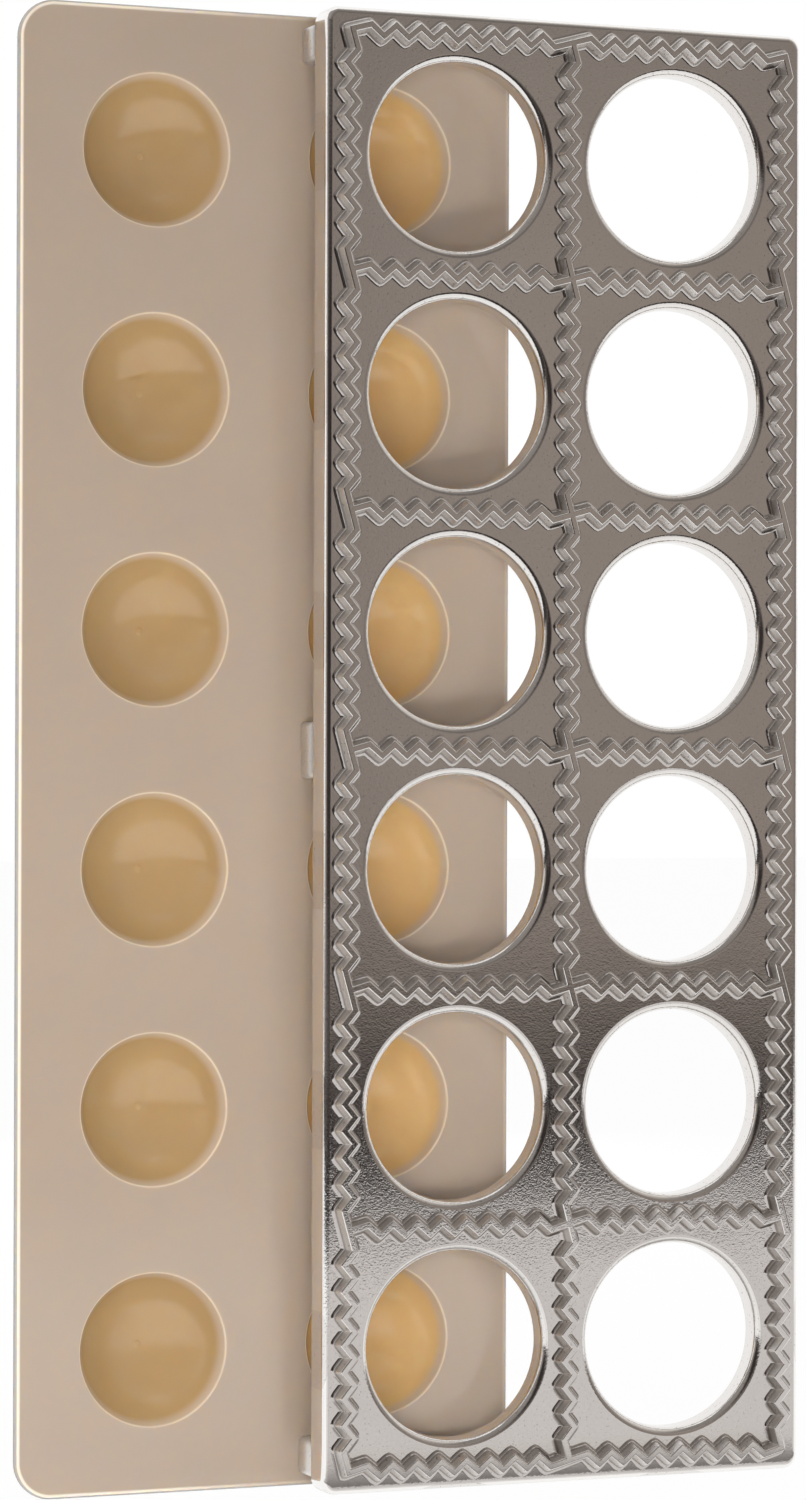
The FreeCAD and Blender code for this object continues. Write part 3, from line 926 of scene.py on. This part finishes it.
# %% The dark wall
WALL_FAR = 1.30
WALL_HIGH = 3.2
WALL_BLACK, WALL_GRAY = (0.04, 0.034, 0.032, 1), (0.45, 0.405, 0.368, 1)
WALL_DIM, WALL_END = (0.31, 0.28, 0.26, 1), (0.30, 0.27, 0.25, 1)
SKIRTING = (0.18, 0.16, 0.15, 1)
CEILING_LEFT, CEILING_RIGHT = (0.30, 0.275, 0.26, 1), (0.26, 0.24, 0.225, 1)
CEILING_PALE = (0.72, 0.68, 0.64, 1)
SKIRTING_HIGH, CEILING_STARTS = 0.10, (0.36, 0.72)


def mirror_card(name, points, faces, finish):
    """A card that only mirrors see."""
    card = stage_card(name, points, faces, finish)
    card.visible_camera = False
    card.visible_diffuse = False
    card.visible_shadow = False
    card.visible_transmission = False


def wall_finish():
    """Nearly black behind the camera, a middle grey to its right, and a dim ceiling above."""
    wall = Finish("dark_wall")
    share = along_axis(wall, "X") * (0.5 / WALL_FAR) + 0.5
    height = along_axis(wall, "Z")
    low = wall.ramp(share, (0.02, WALL_GRAY), (0.16, WALL_BLACK), (0.50, WALL_BLACK),
                    (0.62, WALL_DIM), (0.70, WALL_GRAY), (0.90, WALL_END))
    high = wall.ramp(share, (0.0, CEILING_LEFT), (0.75, CEILING_RIGHT), (0.95, CEILING_PALE))
    above_skirting = wall.between(SKIRTING, low, wall.smooth_step(height, 0.0, SKIRTING_HIGH))
    colour = wall.between(above_skirting, high, wall.smooth_step(height, *CEILING_STARTS))
    return wall.surface(wall.node("ShaderNodeEmission", None, {"Color": colour, "Strength": 1.0}))


arc = [math.radians(angle) for angle in range(-76, 77, 8)]
low_edge = [(WALL_FAR * math.sin(a), -WALL_FAR * math.cos(a), 0.0) for a in arc]
high_edge = [(x, y, WALL_HIGH) for x, y, z in low_edge]
mirror_card("dark_wall", low_edge + high_edge,
            [(i, i + 1, i + 1 + len(arc), i + len(arc)) for i in range(len(arc) - 1)], wall_finish())
print("the dark wall stands", WALL_FAR, "m away")

# %% [markdown]
# The fifth row shows the dark beyond the table's end, and the last row the white table top,
# which is in the frame's own shade close to the ridges. Two more cards lie on the floor for
# them: a dark one that starts where the table ends, and a small one with a soft ramp.


# %% The end of the table top, and the shade by the ridges
CARPET_BLACK = (0.045, 0.04, 0.039, 1)
TABLE_REACH = 0.435
CARPET_REACH = 3
SHADE_DARK, TABLE_WHITE = (0.16, 0.15, 0.145, 1), (0.97, 0.96, 0.95, 1)
SHADE_LEFT, SHADE_RIGHT, SHADE_NEAR, SHADE_FAR = -0.035, 0.10, -0.0165, -0.061
SHADE_END = -0.060
CARPET_LIFT, SHADE_LIFT = 0.002, 0.001


def carpet_finish():
    carpet = Finish("dark_carpet")
    return carpet.surface(carpet.node("ShaderNodeEmission", None, {
        "Color": CARPET_BLACK, "Strength": 1.0}))


to_camera = Vector((CAMERA_PLACE.x, CAMERA_PLACE.y, 0)).normalized()
aside = Vector((-to_camera.y, to_camera.x, 0))
lift = Vector((0, 0, CARPET_LIFT))
corners = [to_camera * out + aside * side + lift
           for out, side in ((TABLE_REACH, -CARPET_REACH), (TABLE_REACH, CARPET_REACH),
                             (CARPET_REACH, CARPET_REACH), (CARPET_REACH, -CARPET_REACH))]
mirror_card("dark_carpet", corners, [(0, 1, 2, 3)], carpet_finish())


def shade_finish():
    """The table close to the ridges, where the frame itself keeps it in shade."""
    shade = Finish("table_shade")
    share = shade.smooth_step(along_axis(shade, "Y"), 0.0, SHADE_END)
    grey = shade.between(SHADE_DARK, TABLE_WHITE, share)
    return shade.surface(shade.node("ShaderNodeEmission", None, {"Color": grey, "Strength": 1.0}))


mirror_card("table_shade",
            rectangle(SHADE_LEFT, SHADE_RIGHT, SHADE_NEAR, SHADE_FAR, SHADE_LIFT),
            [(0, 1, 2, 3)], shade_finish())
print("the table top ends", TABLE_REACH, "m in front of the mould")

# %% [markdown]
# Five soft lamps light the plastic: one high on the left, one from the right, one near the
# camera so that the tray is lit through the bores too, a long low one that makes the tray
# lighter towards its foot, and one behind. Mirrors don't see them, so no lamp shows in the
# metal.


# %% Lamps
MIDDLE = (0.0, 0.0, 0.15)


def soft_lamp(name, place, target, wide, tall, watts):
    """A lamp with a wide face, turned to its target. Only what it lights shows it."""
    data = bpy.data.lights.new(name, "AREA")
    data.shape = "RECTANGLE"
    data.size = wide
    data.size_y = tall
    data.energy = watts
    lamp = bpy.data.objects.new(name, data)
    bpy.context.scene.collection.objects.link(lamp)
    lamp.location = place
    lamp.rotation_mode = "QUATERNION"
    lamp.rotation_quaternion = (Vector(place) - Vector(target)).to_track_quat("Z", "Y")
    lamp.visible_camera = False
    lamp.visible_glossy = False


soft_lamp("left_lamp", (-0.35, -0.30, 1.20), MIDDLE, 0.6, 0.6, 6.0)
soft_lamp("right_lamp", (1.15, -0.25, 0.25), MIDDLE, 0.7, 0.5, 2.6)
soft_lamp("front_lamp", (-0.42, -1.0, 0.14), (0, 0, 0.08), 0.5, 0.3, 5.4)
soft_lamp("low_lamp", (-0.10, -0.36, 0.027), (0, 0, 0.03), 0.7, 0.045, 1.35)
soft_lamp("back_lamp", (0.12, 0.85, 0.28), MIDDLE, 0.5, 0.5, 4.5)
print(len(bpy.data.lights), "soft lamps")

# %% [markdown]
# The surroundings are a white world. The camera and the mirrors see it at full strength, and
# what it throws on the mould is a little fill, so that no side is left black.

# %% World
FILL = 0.13
world = bpy.data.worlds.new("white_surroundings")
world.use_nodes = True
bpy.context.scene.world = world


class WorldFinish(Finish):
    """The same way of adding nodes, in the world's tree."""

    def __init__(self, world):
        self.tree = world.node_tree
        self.tree.nodes.clear()
        self.output = self.tree.nodes.new("ShaderNodeOutputWorld")

    def surface(self, wire):
        self.tree.links.new(wire.socket, self.output.inputs["Surface"])


around = WorldFinish(world)
strength = FILL + (1 - FILL) * seen_directly(around)
around.surface(around.node("ShaderNodeBackground", None, {"Color": WHITE, "Strength": strength}))
bpy.context.scene.view_settings.view_transform = "Standard"
print("the world's fill is", FILL)
